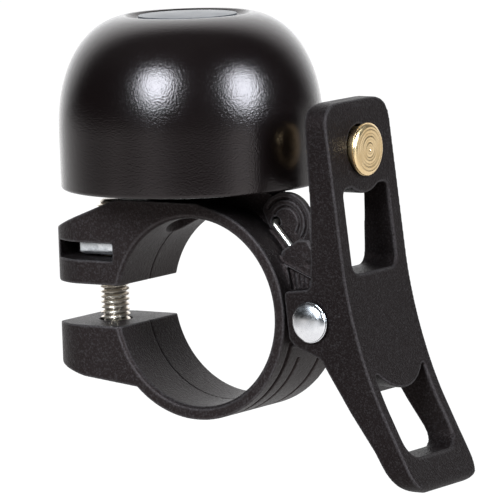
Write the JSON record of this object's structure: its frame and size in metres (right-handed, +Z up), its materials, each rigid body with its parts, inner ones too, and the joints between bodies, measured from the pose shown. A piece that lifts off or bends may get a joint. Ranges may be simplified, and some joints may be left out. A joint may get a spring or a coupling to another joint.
{
  "type": "bicycle bell",
  "caption": "Small bicycle bell: a painted dome on a split handlebar clamp, rung by a sprung thumb lever that carries a brass striker.",
  "frame": {"origin": "middle of the handlebar bore: on its axis, halfway along the clamp", "axes": "+X from the bore to the lever, +Y along the handlebar, +Z up along the bell's axis"},
  "size_m": [0.0605, 0.0356, 0.062],
  "materials": {
    "dome_paint": "gloss black paint with a fine orange peel",
    "cap_paint": "satin black",
    "nylon_black": "moulded glass-filled nylon, fine grain",
    "nylon_white": "plain moulded nylon",
    "rubber_black": "matt",
    "brass": "turned, with fine lathe rings",
    "pin_chrome": "polished",
    "screw_nickel": "nickel plated",
    "zinc_steel": "bright zinc plated",
    "aluminium": "turned"
  },
  "bodies": {
    "root": {"clamp_body": "nylon_black", "clamp_nut": "zinc_steel", "dome_bolt": "zinc_steel", "bolt_lock_washer": "zinc_steel", "dome_post": "aluminium", "dome_isolator": "nylon_white", "bell_dome": "dome_paint", "cap_gasket": "rubber_black", "dome_cap": "cap_paint", "pivot_pin": "pin_chrome", "pin_push_nut": "zinc_steel", "lever_spring": "zinc_steel"},
    "lever": {"lever_arm": "nylon_black", "striker": "brass"},
    "screw_slider": {"clamp_washer": "screw_nickel"},
    "screw": {"clamp_screw": "screw_nickel"}
  },
  "joints": [
    {"name": "lever_pivot", "type": "hinge", "parent": "root", "child": "lever", "pos_m": [0.0193, 0, -0.0001], "axis": [0, 1, 0], "range_deg": [-4.9, 22], "stiffness_Nm_per_rad": 0.08, "deforming": ["lever_spring"]},
    {"name": "clamp_screw_feed", "type": "slide", "parent": "root", "child": "screw_slider", "axis": [0, 0, -1], "range_m": [0, 0.0028]},
    {"name": "clamp_screw_turn", "type": "hinge", "parent": "screw_slider", "child": "screw", "pos_m": [-0.01805, 0, 0], "axis": [0, 0, -1], "range_deg": [0, 1440]}
  ],
  "couplings": [
    {"joint": "clamp_screw_turn", "follows": "clamp_screw_feed", "rad_per_m": 8975.9}
  ]
}
